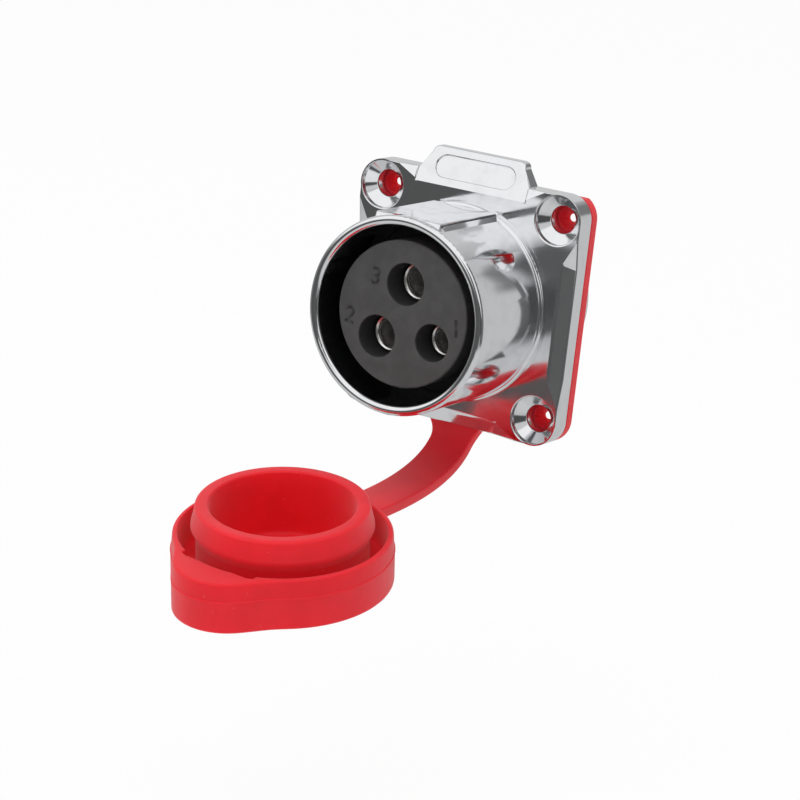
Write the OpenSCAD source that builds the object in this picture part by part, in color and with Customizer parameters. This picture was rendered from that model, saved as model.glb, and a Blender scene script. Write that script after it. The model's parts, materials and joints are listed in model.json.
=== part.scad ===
// Panel mount circular power receptacle with a tethered sealing cap.
// Frame: the panel face lies in XZ, the connector axis is Y and the mouth faces -Y, +Z is up.
// The origin is on the axis, on the back of the gasket, where the panel begins.

/* [Flange] */
// Side of the square flange
flange_w = 32.6; // [31:0.1:36]
// Thickness of the flange at its corners
flange_t = 3.2; // [2.4:0.1:4.5]
// Plan radius of the flange corners
flange_corner_r = 3.2; // [2:0.1:4]
// Distance of a screw hole's centre from the flange's edges
hole_edge = 3.3; // [2.9:0.05:4]
// Diameter of a screw hole
screw_hole_d = 3.4; // [2.6:0.1:4]
// Diameter of a countersink at the flange face
csk_d = 6.2; // [5:0.1:6.4]
// Depth of the straight step at the top of a countersink
csk_step = 0.75; // [0.2:0.05:1]
// Depth of a countersink, with its step
csk_depth = 1.75; // [1.2:0.05:2.2]
// Width of the sloped facet along the middle of each side
facet_w = 1.85; // [1:0.05:2.4]
// Distance from a screw hole's centre to the straight part of a facet
boss_reach = 5.4; // [4.8:0.1:8]
// Run along the side of the facet's end ramps
facet_ramp = 3.4; // [2:0.1:4.5]
// Slope of the facets against the flange face
facet_angle = 21; // [10:1:30]

/* [Label tab] */
// Height of the tab above the flange edge
tab_h = 2.9; // [1.5:0.1:5]
// Width of the tab at its top
tab_top_w = 13.8; // [8:0.1:15]
// Width of the tab where it leaves the flange
tab_base_w = 16.2; // [12:0.1:18]
// Radius of the tab's top corners
tab_corner_r = 0.9; // [0.4:0.1:2]
// Height of the bare label field on the tab
label_h = 2.9; // [1.5:0.1:3.6]
// Length of the bare label field on the tab
label_w = 11.6; // [6:0.1:12]
// Depth of the bare label field
label_depth = 0.2; // [0.1:0.05:0.4]

/* [Barrel] */
// Outside diameter of the barrel
barrel_d = 25.3; // [23.5:0.1:27]
// Wall of the barrel
barrel_wall = 1.25; // [1.15:0.05:1.8]
// Length of the barrel ahead of the flange
barrel_len = 15.5; // [14.5:0.1:20]
// Outer edge radius of the lip
lip_out_r = 0.3; // [0.2:0.05:0.7]
// Inner edge radius of the lip
lip_in_r = 0.4; // [0.2:0.05:0.5]
// Height of the collar at the foot of the barrel
collar_h = 0.4; // [0.2:0.05:0.8]
// Length of the collar
collar_len = 0.9; // [0.5:0.1:1.6]
// Depth of the latch flat below the crown of the barrel
latch_drop = 0.4; // [0.2:0.05:0.7]
// Width of the latch flat
latch_flat_w = 9.2; // [6:0.1:10]
// Slope of the flanks on each side of the latch flat
latch_flank_angle = 52; // [40:1:75]
// Distance of the latch boss behind the lip
latch_setback = 0.9; // [0.8:0.1:2.5]
// Size of the slope at the front of the latch boss
latch_nose = 0.9; // [0.3:0.1:1.2]
// Depth of the ring gap round the insert, from the lip
gap_depth = 13; // [12:0.1:14.5]
// Thickness of the web that stops the insert
web_t = 2; // [1.2:0.1:3]

/* [Spigot] */
// Wall of the spigot behind the panel face
spigot_wall = 1.2; // [1:0.05:1.5]
// Shoulder between the insert's front and the bore of the spigot
spigot_shoulder = 1.35; // [1.2:0.05:1.8]
// Height of the land that centres the gasket
register_h = 0.2; // [0.1:0.05:0.4]
// Length of that land beyond the gasket
register_out = 0.3; // [0.1:0.05:0.6]
// Wall left behind the retaining ring
spigot_lip = 1.6; // [1:0.1:3]

/* [Gasket and strap] */
// Thickness of the gasket and of the strap
gasket_t = 1.5; // [1:0.1:2]
// How far the gasket's top edge lies below the flange's
gasket_drop = 0.45; // [0.2:0.05:1]
// Width of the strap
strap_w = 5.8; // [4:0.1:8]
// Extra width of the strap at the gasket
strap_flare = 3; // [0:0.1:3]
// Drop of the strap below the gasket before it turns forward
strap_drop = 8.4; // [3:0.5:9]
// Straight run of the strap towards the cap
strap_run = 2.5; // [1:0.5:16]

/* [Cap] */
// Gap between the cap and the faces it closes on
cap_clear = 0.15; // [0.1:0.01:0.3]
// Height of the cap's skirt
skirt_h = 6.5; // [5.5:0.1:8]
// Wall of the skirt
skirt_wall = 1.1; // [0.8:0.1:1.6]
// Thickness of the cap's closed end
cap_end_t = 2; // [1.2:0.1:2.6]
// Height of the plug ring beyond the skirt
ring_proud = 3.6; // [2:0.1:4.5]
// Narrowing of the plug ring towards its tip, on the radius
ring_taper = 0.5; // [0:0.05:0.8]
// Height of the plug ring's widest place above the skirt's edge
ring_bead_up = 0.8; // [0.4:0.1:2]
// How far the ring's neck in the groove stays inside its widest place
ring_neck = 0.6; // [0.2:0.1:0.8]
// Edge radius of the plug ring's tip
ring_edge_r = 0.4; // [0.2:0.05:0.6]
// Radius of the pull tab's round end
lobe_r = 6.5; // [4:0.1:8]
// Reach of the pull tab beyond the skirt
lobe_reach = 3.2; // [1.5:0.1:5]
// Height of the parting line above the closed end
parting_h = 4.2; // [3:0.1:5]
// Step at the parting line
parting_step = 0.12; // [0.05:0.01:0.3]
// Length of the lug that carries the strap
lug_len = 1.2; // [0.8:0.1:3]

/* [Cap motion] */
// Distance of the swing axis ahead of the lip
hinge_ahead = 0.8; // [0:0.1:3]
// Distance of the swing axis below the barrel
hinge_below = 5.45; // [4.5:0.05:7]
// Turn of the swing axis about Z, from the strap's side bend
hinge_turn = 1.7; // [0:0.1:3]
// Lift of the swing axis out of the level, from the strap's side bend
hinge_lift = 2.8; // [0:0.1:4]
// Swing from the pose of the photograph to the closed pose
swing_close = 100.9; // [85:0.1:115]
// Gap between the plug ring and the lip before the cap is pushed on
mouth_gap = 0.4; // [0.2:0.1:2]

/* [Insert] */
// Width of the ring gap between the barrel and the insert
plug_gap = 2.05; // [1.8:0.05:2.6]
// Distance of the insert's face behind the lip
insert_recess = 2; // [1:0.1:3]
// Edge radius of the insert's face
insert_edge_r = 0.2; // [0.2:0.05:0.8]
// Thickness of the front insulator's flange
insert_flange_t = 4.2; // [3.4:0.1:6]
// Length of the rear insulator
rear_insert_len = 8; // [5:0.1:12]
// Running clearance of the insulators in the shell, on the radius
insert_clear = 0.1; // [0.05:0.01:0.15]
// Section diameter of the insert seal
insert_seal_d = 1.1; // [0.8:0.05:1.2]
// Thickness of the face seal
face_seal_t = 1.2; // [0.8:0.1:2]

/* [Contacts] */
// Radius of the circle that the contacts lie on
contact_circle_r = 4.65; // [4.4:0.05:5]
// Angle of the topmost contact
contact_turn = 95.5; // [85:0.5:105]
// Drop of the contact circle below the axis
contact_drop = 0.8; // [0:0.1:1]
// How far the contact circle's middle lies to the right of the axis
contact_aside = 0.45; // [0:0.05:1]
// Bore of the small socket
small_pin_d = 3; // [2.6:0.1:3.4]
// Bore of the two large sockets
large_pin_d = 3.6; // [3:0.1:3.8]
// Wall of a socket outside its spring
socket_wall = 0.35; // [0.25:0.05:0.4]
// Thickness of a contact spring
spring_t = 0.2; // [0.1:0.05:0.25]
// Clearance of a contact in the wide part of its cavity, on the radius
cavity_clear = 0.27; // [0.15:0.01:0.4]
// Depth of the wide part of a contact cavity, from the insert's face
cavity_depth = 7; // [5.5:0.1:10]
// Depth of a socket's mouth behind the insert's face
socket_recess = 3.5; // [2:0.1:5]
// Depth of a socket's bore
socket_depth = 9; // [7:0.1:10]
// Solid length of a socket before and behind its spring
spring_inset = 1.5; // [1:0.1:2]
// Height of a contact's collar above its shank
collar_step = 0.7; // [0.4:0.05:0.8]
// Thickness of a contact's collar
collar_t = 1.8; // [1:0.1:2.4]
// Length of a solder cup behind the rear insulator
cup_len = 7.5; // [5:0.1:10]
// Depth of a solder cup
cup_depth = 6; // [4:0.1:6.5]
// Length of a solder cup's open top
cup_open = 2.7; // [1.5:0.1:3.5]
// Wall of a solder cup
cup_wall = 0.75; // [0.5:0.05:0.9]

/* [Retaining ring] */
// Thickness of the retaining ring
ring_t = 1; // [0.8:0.1:1.4]
// Depth of its groove
ring_groove = 0.5; // [0.3:0.05:0.7]
// Band width of the retaining ring
ring_band = 1.6; // [1.2:0.1:2]
// Opening angle of the retaining ring
ring_gap_angle = 40; // [24:1:60]

/* [Hidden] */
$fn = 72;
// Small gap left where two faces run beside each other
FIT = 0.05;
// Longer than anything that it cuts
BIG = 60;
// Cuts start this far outside the face that they open
EPS = 0.5;

// Planes along the axis, from the panel face to the lip
gasket_front = -gasket_t;
flange_front = gasket_front - flange_t;
lip = flange_front - barrel_len;
insert_face = lip + insert_recess;
gap_floor = lip + gap_depth;
web_rear = gap_floor + web_t;
split = web_rear + insert_flange_t;
rear_insert_end = split + rear_insert_len;
groove_end = rear_insert_end + ring_t + FIT;
spigot_end = groove_end + spigot_lip;

// Radii
barrel_r = barrel_d / 2;
mouth_r = barrel_r - barrel_wall;
collar_r = barrel_r + collar_h;
insert_r = mouth_r - plug_gap;
spigot_bore_r = insert_r + spigot_shoulder;
spigot_r = spigot_bore_r + spigot_wall;
register_r = spigot_r + register_h;
web_bore_r = insert_r + insert_clear + FIT;
insert_flange_r = spigot_bore_r - insert_clear;

// The latch flat, and the spread of a flank over the barrel's wall
latch_flat_z = barrel_r - latch_drop;
latch_run = barrel_wall / tan(latch_flank_angle);

// Flange outline
half_w = flange_w / 2;
hole_pitch = flange_w - 2 * hole_edge;
facet_in = half_w - facet_w;
facet_half = hole_pitch / 2 - boss_reach;

// Cap sizes that follow the barrel and the insert
groove_out_r = barrel_r + cap_clear;
ring_out_r = mouth_r - cap_clear - FIT;
ring_in_r = insert_r + cap_clear;
skirt_r = groove_out_r + skirt_wall;
groove_depth = skirt_h - cap_end_t;
latch_corner_r = norm([latch_flat_w / 2, latch_flat_z]);
pocket_half = latch_flat_w / 2 + latch_run + cap_clear;
pocket_z = latch_flat_z + 2 * cap_clear;
lobe_d = skirt_r + lobe_reach - lobe_r;
// The skirt's open edge with the cap swung shut and not yet pushed on
skirt_edge = lip - mouth_gap - ring_proud;
// The cap's parting line, along which the strap's upper face runs out
parting_y = skirt_edge - skirt_h + parting_h;
// Travel of the cap from there to its seat
push_on = mouth_gap + ring_proud + groove_depth - cap_clear;

// Swing axis of the cap
hinge_axis = [-cos(hinge_lift) * cos(hinge_turn), cos(hinge_lift) * sin(hinge_turn), sin(hinge_lift)];
hinge_point = [0, lip - hinge_ahead, -barrel_r - hinge_below];

// Contact sizes, one value for each contact
socket_bore_r = [small_pin_d / 2, large_pin_d / 2, large_pin_d / 2];
spring_in_r = [for (r = socket_bore_r) r + FIT];
spring_out_r = [for (r = spring_in_r) r + spring_t];
socket_r = [for (r = spring_out_r) r + FIT / 2 + socket_wall];
cavity_r = [for (r = socket_r) r + cavity_clear];
collar_seat_r = [for (r = socket_r) r + collar_step + FIT];
cup_r = [for (r = socket_r) r - FIT];
contact_angle = [contact_turn - 120, contact_turn + 120, contact_turn];
socket_mouth = insert_face + socket_recess;
seal_groove_len = insert_seal_d + 2 * FIT;
contact_seal_r = (collar_step + FIT) / 2 - FIT / 2;

// A profile of [radius, y] turned about the connector axis
module turned() {
  rotate([-90, 0, 0]) rotate_extrude() children();
}

// A round bar about the connector axis from y0 to y1
module bar(r, y0, y1) {
  translate([0, y0, 0]) rotate([-90, 0, 0]) cylinder(r = r, h = y1 - y0);
}

// An outline drawn in [x, z], raised along the axis from y0 to y1
module slab(y0, y1) {
  translate([0, y1, 0]) rotate([90, 0, 0]) linear_extrude(y1 - y0) children();
}

// A square with round corners, in plan
module round_square(w, r) {
  square([w, w - 2 * r], center = true);
  square([w - 2 * r, w], center = true);
  for (sx = [-1, 1], sz = [-1, 1]) translate([sx, sz] * (w / 2 - r)) circle(r);
}

// A long field with round ends, in plan
module pill(w, h) {
  square([w - h, h], center = true);
  for (sx = [-1, 1]) translate([sx * (w - h) / 2, 0]) circle(h / 2);
}

// Copies at the four screw holes
module at_holes() {
  for (sx = [-1, 1], sz = [-1, 1]) translate([sx * hole_pitch / 2, 0, sz * hole_pitch / 2]) children();
}

// Places a child at contact i
module at_contact(i) {
  a = contact_angle[i];
  translate([contact_circle_r * cos(a) + contact_aside, 0, contact_circle_r * sin(a) - contact_drop]) children();
}

// Shell: one casting of flange, label tab, barrel, latch boss and spigot

// Space in front of a plane that leaves the flange face along a line and slopes back outwards
module ahead_of_slope() {
  rotate([0, 0, facet_angle]) translate([0, -BIG, -BIG / 2]) cube(BIG);
}

// The facet and its two end ramps, cut from one side of the flange
module facet_cut() {
  ramp_turn = 90 - atan2(facet_ramp, facet_w);
  intersection() {
    translate([facet_in, flange_front, 0]) ahead_of_slope();
    translate([facet_in, flange_front, facet_half]) rotate([0, ramp_turn, 0]) ahead_of_slope();
    translate([facet_in, flange_front, -facet_half]) rotate([0, -ramp_turn, 0]) ahead_of_slope();
  }
}

// Outline of the label tab, its top corners round
module tab_outline() {
  top = half_w + tab_h;
  foot = half_w - flange_corner_r;
  r = tab_corner_r;
  polygon([
    [-tab_base_w / 2, foot], [tab_base_w / 2, foot], [tab_base_w / 2, half_w],
    [tab_top_w / 2, top - r], [-tab_top_w / 2, top - r], [-tab_base_w / 2, half_w]
  ]);
  translate([-tab_top_w / 2 + r, top - 2 * r]) square([tab_top_w - 2 * r, 2 * r]);
  for (sx = [-1, 1]) translate([sx * (tab_top_w / 2 - r), top - r]) circle(r);
}

// The flange with its tab, faced off by the slopes
module flange() {
  difference() {
    union() {
      slab(flange_front, gasket_front) round_square(flange_w, flange_corner_r);
      slab(flange_front, gasket_front) tab_outline();
    }
    for (turn = [0, 90, 180]) rotate([0, turn, 0]) facet_cut();
    // the top facet runs on up the tab
    translate([0, flange_front, facet_in]) rotate([0, -90, 0]) intersection() {
      ahead_of_slope();
      cube([BIG, BIG, tab_base_w], center = true);
    }
    rotate([0, -90, 0]) facet_cut();
  }
}

// The label field, sunk into the sloped face of the tab
module label_field() {
  mid = facet_in + (half_w + tab_h - facet_in) / 2;
  translate([0, flange_front, facet_in]) rotate([-facet_angle, 0, 0])
    translate([0, 0, (mid - facet_in) / cos(facet_angle)])
      slab(-EPS, label_depth) pill(label_w, label_h);
}

// Outside of the barrel, its lip rounded
module barrel_outside() {
  square_to = flange_front + EPS;
  translate([0, lip]) square([barrel_r - lip_out_r, square_to - lip]);
  translate([0, lip + lip_out_r]) square([barrel_r, square_to - lip - lip_out_r]);
  translate([barrel_r - lip_out_r, lip + lip_out_r]) circle(lip_out_r);
}

// Collar at the foot of the barrel, its front edge round
module collar_outside() {
  r = collar_len / 2;
  translate([0, flange_front - collar_len]) square([collar_r - r, collar_len + EPS]);
  translate([0, flange_front - collar_len + r]) square([collar_r, collar_len - r + EPS]);
  translate([collar_r - r, flange_front - collar_len + r]) circle(r);
}

// Spigot behind the flange, with the gasket's land at its root and its end chamfered
module spigot_outside() {
  cham = (spigot_r - spigot_bore_r) / 3;
  polygon([
    [0, flange_front], [register_r, flange_front], [register_r, register_out], [spigot_r, register_out],
    [spigot_r, spigot_end - cham], [spigot_r - cham, spigot_end], [0, spigot_end]
  ]);
}

// Everything bored out of the shell: mouth with a round edge, web, spigot and ring groove
module bores() {
  edge = lip_in_r;
  translate([0, lip - EPS]) square([mouth_r, gap_depth + EPS]);
  difference() {
    translate([0, lip - EPS]) square([mouth_r + edge, edge + EPS]);
    translate([mouth_r + edge, lip + edge]) circle(edge);
  }
  translate([0, lip]) square([web_bore_r, spigot_end - lip]);
  translate([0, web_rear]) square([spigot_bore_r, spigot_end - web_rear + EPS]);
  translate([0, rear_insert_end]) square([spigot_bore_r + ring_groove, groove_end - rear_insert_end]);
}

// Raised shoulders of the latch flat, along the top of the barrel, sloped at the front
module latch_boss() {
  front = lip + latch_setback;
  foot_w = latch_flat_w + 2 * latch_run;
  difference() {
    slab(front, flange_front + EPS) polygon([
      [-latch_flat_w / 2, latch_flat_z], [latch_flat_w / 2, latch_flat_z],
      [foot_w / 2, latch_flat_z - barrel_wall], [-foot_w / 2, latch_flat_z - barrel_wall]
    ]);
    translate([0, front, latch_flat_z - latch_nose]) rotate([45, 0, 0]) translate([-BIG / 2, -BIG / 2, 0])
      cube([BIG, BIG, BIG]);
  }
}

// Everything above the latch flat, between its front slope and the collar
module latch_flat_cut() {
  front = lip + latch_setback + latch_nose;
  translate([-latch_flat_w / 2, front, latch_flat_z])
    cube([latch_flat_w, flange_front - collar_len - front, latch_flat_w]);
}

// A screw hole with its countersink
module screw_hole() {
  translate([0, flange_front - EPS, 0]) rotate([-90, 0, 0]) {
    cylinder(d = screw_hole_d, h = flange_t + 2 * EPS);
    cylinder(d = csk_d, h = EPS + csk_step);
    translate([0, 0, EPS + csk_step]) cylinder(d1 = csk_d, d2 = screw_hole_d, h = csk_depth - csk_step);
  }
}

module shell() {
  color("silver") difference() {
    union() {
      flange();
      turned() {
        barrel_outside();
        collar_outside();
        spigot_outside();
      }
      latch_boss();
    }
    turned() bores();
    latch_flat_cut();
    at_holes() screw_hole();
    label_field();
  }
}

// Gasket: the flat seal under the flange

module gasket() {
  color("red") slab(gasket_front, 0) difference() {
    round_square(flange_w, flange_corner_r);
    translate([-half_w - EPS, half_w - gasket_drop]) square([flange_w + 2 * EPS, gasket_drop + EPS]);
    circle(register_r + FIT);
    for (sx = [-1, 1], sz = [-1, 1]) translate([sx, sz] * hole_pitch / 2) circle(d = screw_hole_d);
  }
}

// Cap: skirt over the barrel, plug ring inside it, pull tab above and strap lug below.
// It is drawn shut, not yet pushed on, and swung open about the hinge axis.

// Rotation of vector v about the hinge axis
function swung(v, a) = v * cos(a) + cross(hinge_axis, v) * sin(a) + hinge_axis * (hinge_axis * v) * (1 - cos(a));
// Where a point of the shut cap lies in the pose of the photograph
function at_rest(p) = hinge_point + swung(p - hinge_point, -swing_close);

module open_swing() {
  translate(hinge_point) rotate(a = -swing_close, v = hinge_axis) translate(-hinge_point) children();
}

// Skirt outline with the round pull tab, upwards in [x, z]
module cap_outline(inset) {
  r = skirt_r - inset;
  tip = lobe_r - inset;
  a = asin((r - tip) / lobe_d);
  circle(r);
  translate([0, lobe_d]) circle(tip);
  polygon([
    [-r * cos(a), r * sin(a)], [r * cos(a), r * sin(a)],
    [tip * cos(a), lobe_d + tip * sin(a)], [-tip * cos(a), lobe_d + tip * sin(a)]
  ]);
}

// Plug ring: a neck in the groove, a bead that seals in the barrel, and a tapered round tip
module plug_ring() {
  floor_y = skirt_edge - groove_depth;
  tip_y = skirt_edge + ring_proud;
  bead_y = skirt_edge + ring_bead_up;
  tip_r = ring_out_r - ring_taper;
  neck_r = ring_out_r - ring_neck;
  e = ring_edge_r;
  polygon([[ring_in_r, floor_y - EPS], [neck_r, floor_y - EPS], [neck_r, bead_y - 2 * ring_neck],
    [ring_out_r, bead_y], [tip_r, tip_y - e], [ring_in_r, tip_y - e]]);
  translate([ring_in_r + e, tip_y - 2 * e]) square([tip_r - ring_in_r - 2 * e, 2 * e]);
  for (r = [ring_in_r + e, tip_r - e]) translate([r, tip_y - e]) circle(e);
}

module cap_shut() {
  end_y = skirt_edge - skirt_h;
  floor_y = skirt_edge - groove_depth;
  difference() {
    union() {
      slab(end_y, parting_y) cap_outline(0);
      slab(end_y, skirt_edge) cap_outline(parting_step);
      translate([-strap_w / 2, parting_y - gasket_t, -skirt_r - lug_len])
        cube([strap_w, gasket_t, lug_len + skirt_wall / 2]);
    }
    bar(groove_out_r, floor_y, skirt_edge + EPS);
    intersection() {
      translate([-pocket_half, floor_y, 0]) cube([2 * pocket_half, groove_depth + EPS, pocket_z]);
      bar(latch_corner_r + cap_clear, floor_y, skirt_edge + EPS);
    }
  }
  turned() plug_ring();
}

module cap() {
  color("crimson") open_swing() cap_shut();
}

// Strap: leaves the gasket downwards and meets the cap's lug along its own line

strap_from = [0, -gasket_t / 2, -half_w];
strap_to = at_rest([0, parting_y - gasket_t / 2, -skirt_r - lug_len]);
strap_a = strap_from + [0, 0, -strap_drop];
strap_b = strap_to + strap_run * swung([0, 0, -1], -swing_close);
STRAP_STEPS = 28;

function bezier(t) = pow(1 - t, 3) * strap_from + 3 * t * pow(1 - t, 2) * strap_a
  + 3 * t * t * (1 - t) * strap_b + pow(t, 3) * strap_to;
function bezier_way(t) = pow(1 - t, 2) * (strap_a - strap_from) + 2 * t * (1 - t) * (strap_b - strap_a)
  + t * t * (strap_to - strap_b);
function unit(v) = v / norm(v);
// Across the strap: from level at the gasket to the lug's own width
function strap_across(t, way) = let (w = (1 - t) * [1, 0, 0] + t * swung([1, 0, 0], -swing_close))
  unit(w - way * (w * way));
function strap_half(t) = strap_w / 2 + strap_flare / 2 * pow(max(0, 1 - t / 0.15), 2);
// Eight corners of the section, its edges broken
function strap_ring(t) = let (
    way = unit(bezier_way(t)), w = strap_across(t, way), n = cross(way, w),
    a = strap_half(t), b = gasket_t / 2, c = gasket_t / 6)
  [for (p = [[a - c, b], [a, b - c], [a, c - b], [a - c, -b], [c - a, -b], [-a, c - b], [-a, b - c], [c - a, b]])
    bezier(t) + w * p[0] + n * p[1]];

module cap_strap() {
  rings = [for (i = [0 : STRAP_STEPS]) strap_ring(i / STRAP_STEPS)];
  points = [for (ring = rings) for (p = ring) p];
  side = [for (i = [0 : STRAP_STEPS - 1]) for (k = [0 : 7])
    let (a = i * 8 + k, b = i * 8 + (k + 1) % 8) [a, b, b + 8, a + 8]];
  ends = [[for (k = [7 : -1 : 0]) k], [for (k = [0 : 7]) STRAP_STEPS * 8 + k]];
  color("firebrick") polyhedron(points, concat(side, ends));
}

// Insert: two insulators that hold the contacts between them

module front_insulator() {
  seal_mid = (web_rear + split) / 2;
  groove_r = spigot_bore_r - insert_seal_d;
  color("dimgray") difference() {
    turned() {
      translate([0, insert_face + insert_edge_r]) square([insert_r, web_rear - insert_face]);
      translate([0, insert_face]) square([insert_r - insert_edge_r, web_rear - insert_face]);
      translate([insert_r - insert_edge_r, insert_face + insert_edge_r]) circle(insert_edge_r);
      difference() {
        translate([0, web_rear]) square([insert_flange_r, insert_flange_t]);
        translate([groove_r, seal_mid - seal_groove_len / 2]) square([insert_seal_d, seal_groove_len]);
      }
    }
    for (i = [0 : 2]) at_contact(i) {
      bar(cavity_r[i], insert_face - EPS, insert_face + cavity_depth);
      bar(socket_r[i] + FIT, insert_face, split + EPS);
    }
  }
}

module insert_seal() {
  color("orangered") turned()
    translate([spigot_bore_r - insert_seal_d / 2, (web_rear + split) / 2]) circle(d = insert_seal_d - FIT);
}

module face_seal() {
  color("tomato") turned()
    translate([insert_r + insert_clear, gap_floor - face_seal_t])
      square([mouth_r - FIT - insert_r - insert_clear, face_seal_t]);
}

module rear_insulator() {
  color("gray") difference() {
    bar(insert_flange_r, split, rear_insert_end);
    for (i = [0 : 2]) at_contact(i) {
      bar(collar_seat_r[i], split - EPS, split + collar_t + 2 * contact_seal_r + 2 * FIT);
      bar(cup_r[i] + FIT, split, rear_insert_end + EPS);
    }
  }
}

// Retaining ring: an internal snap ring with two plier eyes
module retaining_ring() {
  out_r = spigot_bore_r + ring_groove - FIT;
  in_r = out_r - ring_band;
  eye_r = ring_band * 0.75;
  // the eyes stay a little inside the ring's edge
  eye_at = out_r - eye_r - 2 * FIT;
  eye_turn = ring_gap_angle / 2 + asin(eye_r / eye_at);
  color("goldenrod") slab(rear_insert_end, rear_insert_end + ring_t) difference() {
    union() {
      difference() {
        circle(out_r);
        circle(in_r);
        polygon([[0, 0], BIG * [sin(eye_turn), cos(eye_turn)], BIG * [-sin(eye_turn), cos(eye_turn)]]);
      }
      for (sx = [-1, 1]) translate(eye_at * [sx * sin(eye_turn), cos(eye_turn)]) circle(eye_r);
    }
    for (sx = [-1, 1]) translate(eye_at * [sx * sin(eye_turn), cos(eye_turn)]) circle(eye_r * 0.45);
  }
}

// Contacts: turned sockets with a spring in the bore, a collar, a seal and a solder cup

SPRING_SLOTS = 6;
// Band left whole at each end of a spring
SPRING_BAND = 1;
// Ends of a spring's recess in the bore
spring_front = socket_mouth + spring_inset;
spring_rear = socket_mouth + socket_depth - spring_inset;

module contact(i) {
  cup_end = rear_insert_end + cup_len;
  cup_bore_r = cup_r[i] - cup_wall;
  color("gold") at_contact(i) difference() {
    union() {
      bar(socket_r[i], socket_mouth, split);
      bar(socket_r[i] + collar_step, split, split + collar_t);
      bar(cup_r[i], split + collar_t, cup_end);
    }
    bar(socket_bore_r[i], socket_mouth - EPS, socket_mouth + socket_depth);
    bar(spring_out_r[i] + FIT / 2, spring_front, spring_rear);
    translate([0, socket_mouth, 0]) rotate([-90, 0, 0]) translate([0, 0, -FIT])
      cylinder(r1 = socket_bore_r[i] + socket_wall, r2 = socket_bore_r[i], h = socket_wall + FIT);
    bar(cup_bore_r, cup_end - cup_depth, cup_end + EPS);
    // the cup is cut open above, for the wire
    translate([-BIG / 2, cup_end - cup_open, cup_bore_r / 5]) cube(BIG);
  }
}

module contact_spring(i) {
  mid = (spring_front + spring_rear) / 2;
  slot = spring_rear - spring_front - 2 * SPRING_BAND;
  color("khaki") at_contact(i) difference() {
    bar(spring_out_r[i], spring_front + FIT, spring_rear - FIT);
    bar(spring_in_r[i], spring_front - EPS, spring_rear + EPS);
    for (k = [0 : SPRING_SLOTS - 1]) rotate([0, (k + 0.5) * 360 / SPRING_SLOTS, 0])
      translate([0, mid - slot / 2, -spring_t * 2]) cube([BIG, slot, spring_t * 4]);
  }
}

module contact_seal(i) {
  color("salmon") at_contact(i) turned()
    translate([cup_r[i] + FIT / 2 + contact_seal_r, split + collar_t + contact_seal_r + FIT]) circle(contact_seal_r);
}

module contact_1() { contact(0); }
module contact_2() { contact(1); }
module contact_3() { contact(2); }
module contact_spring_1() { contact_spring(0); }
module contact_spring_2() { contact_spring(1); }
module contact_spring_3() { contact_spring(2); }
module contact_seal_1() { contact_seal(0); }
module contact_seal_2() { contact_seal(1); }
module contact_seal_3() { contact_seal(2); }

shell();
gasket();
cap_strap();
cap();
front_insulator();
rear_insulator();
insert_seal();
face_seal();
retaining_ring();
contact_1();
contact_2();
contact_3();
contact_spring_1();
contact_spring_2();
contact_spring_3();
contact_seal_1();
contact_seal_2();
contact_seal_3();
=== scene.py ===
import json
import math

import bmesh
import bpy
from mathutils import Matrix, Vector
from mathutils.bvhtree import BVHTree
from mathutils.interpolate import poly_3d_calc


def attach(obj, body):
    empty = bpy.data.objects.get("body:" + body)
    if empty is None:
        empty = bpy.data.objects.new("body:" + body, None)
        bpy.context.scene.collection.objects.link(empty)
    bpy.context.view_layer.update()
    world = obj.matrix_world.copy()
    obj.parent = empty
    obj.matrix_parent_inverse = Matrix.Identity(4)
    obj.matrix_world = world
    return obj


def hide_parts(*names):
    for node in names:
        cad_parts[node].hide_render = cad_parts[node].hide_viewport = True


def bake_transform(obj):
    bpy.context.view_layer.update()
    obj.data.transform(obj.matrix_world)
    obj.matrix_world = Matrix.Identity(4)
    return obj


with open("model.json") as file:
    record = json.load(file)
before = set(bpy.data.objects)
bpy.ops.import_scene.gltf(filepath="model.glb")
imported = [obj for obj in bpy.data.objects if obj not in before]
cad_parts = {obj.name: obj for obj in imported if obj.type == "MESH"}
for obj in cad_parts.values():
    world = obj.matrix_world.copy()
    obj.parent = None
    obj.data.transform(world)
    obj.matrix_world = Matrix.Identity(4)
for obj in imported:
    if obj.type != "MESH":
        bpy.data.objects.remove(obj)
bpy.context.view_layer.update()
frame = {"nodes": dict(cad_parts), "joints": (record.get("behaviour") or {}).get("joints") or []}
nodes = frame["nodes"]


# Shell: one zinc die casting of flange, label tab, barrel, latch flat and spigot.
# It is polished and chromed after casting, so it mirrors the studio and its edges are slightly round.
MM = 0.001
WELD = 0.003
ROUNDED = 1
SAME_PLACE = 0.02
SAME_WAY = 0.9
SHARP_DEG = 28.0
SHORTEST = 0.05
RAMP_LEAST_DEG = 15.0
RAMP_LONG = 10.0
RAMP_HIGHEST = 10.0


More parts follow.
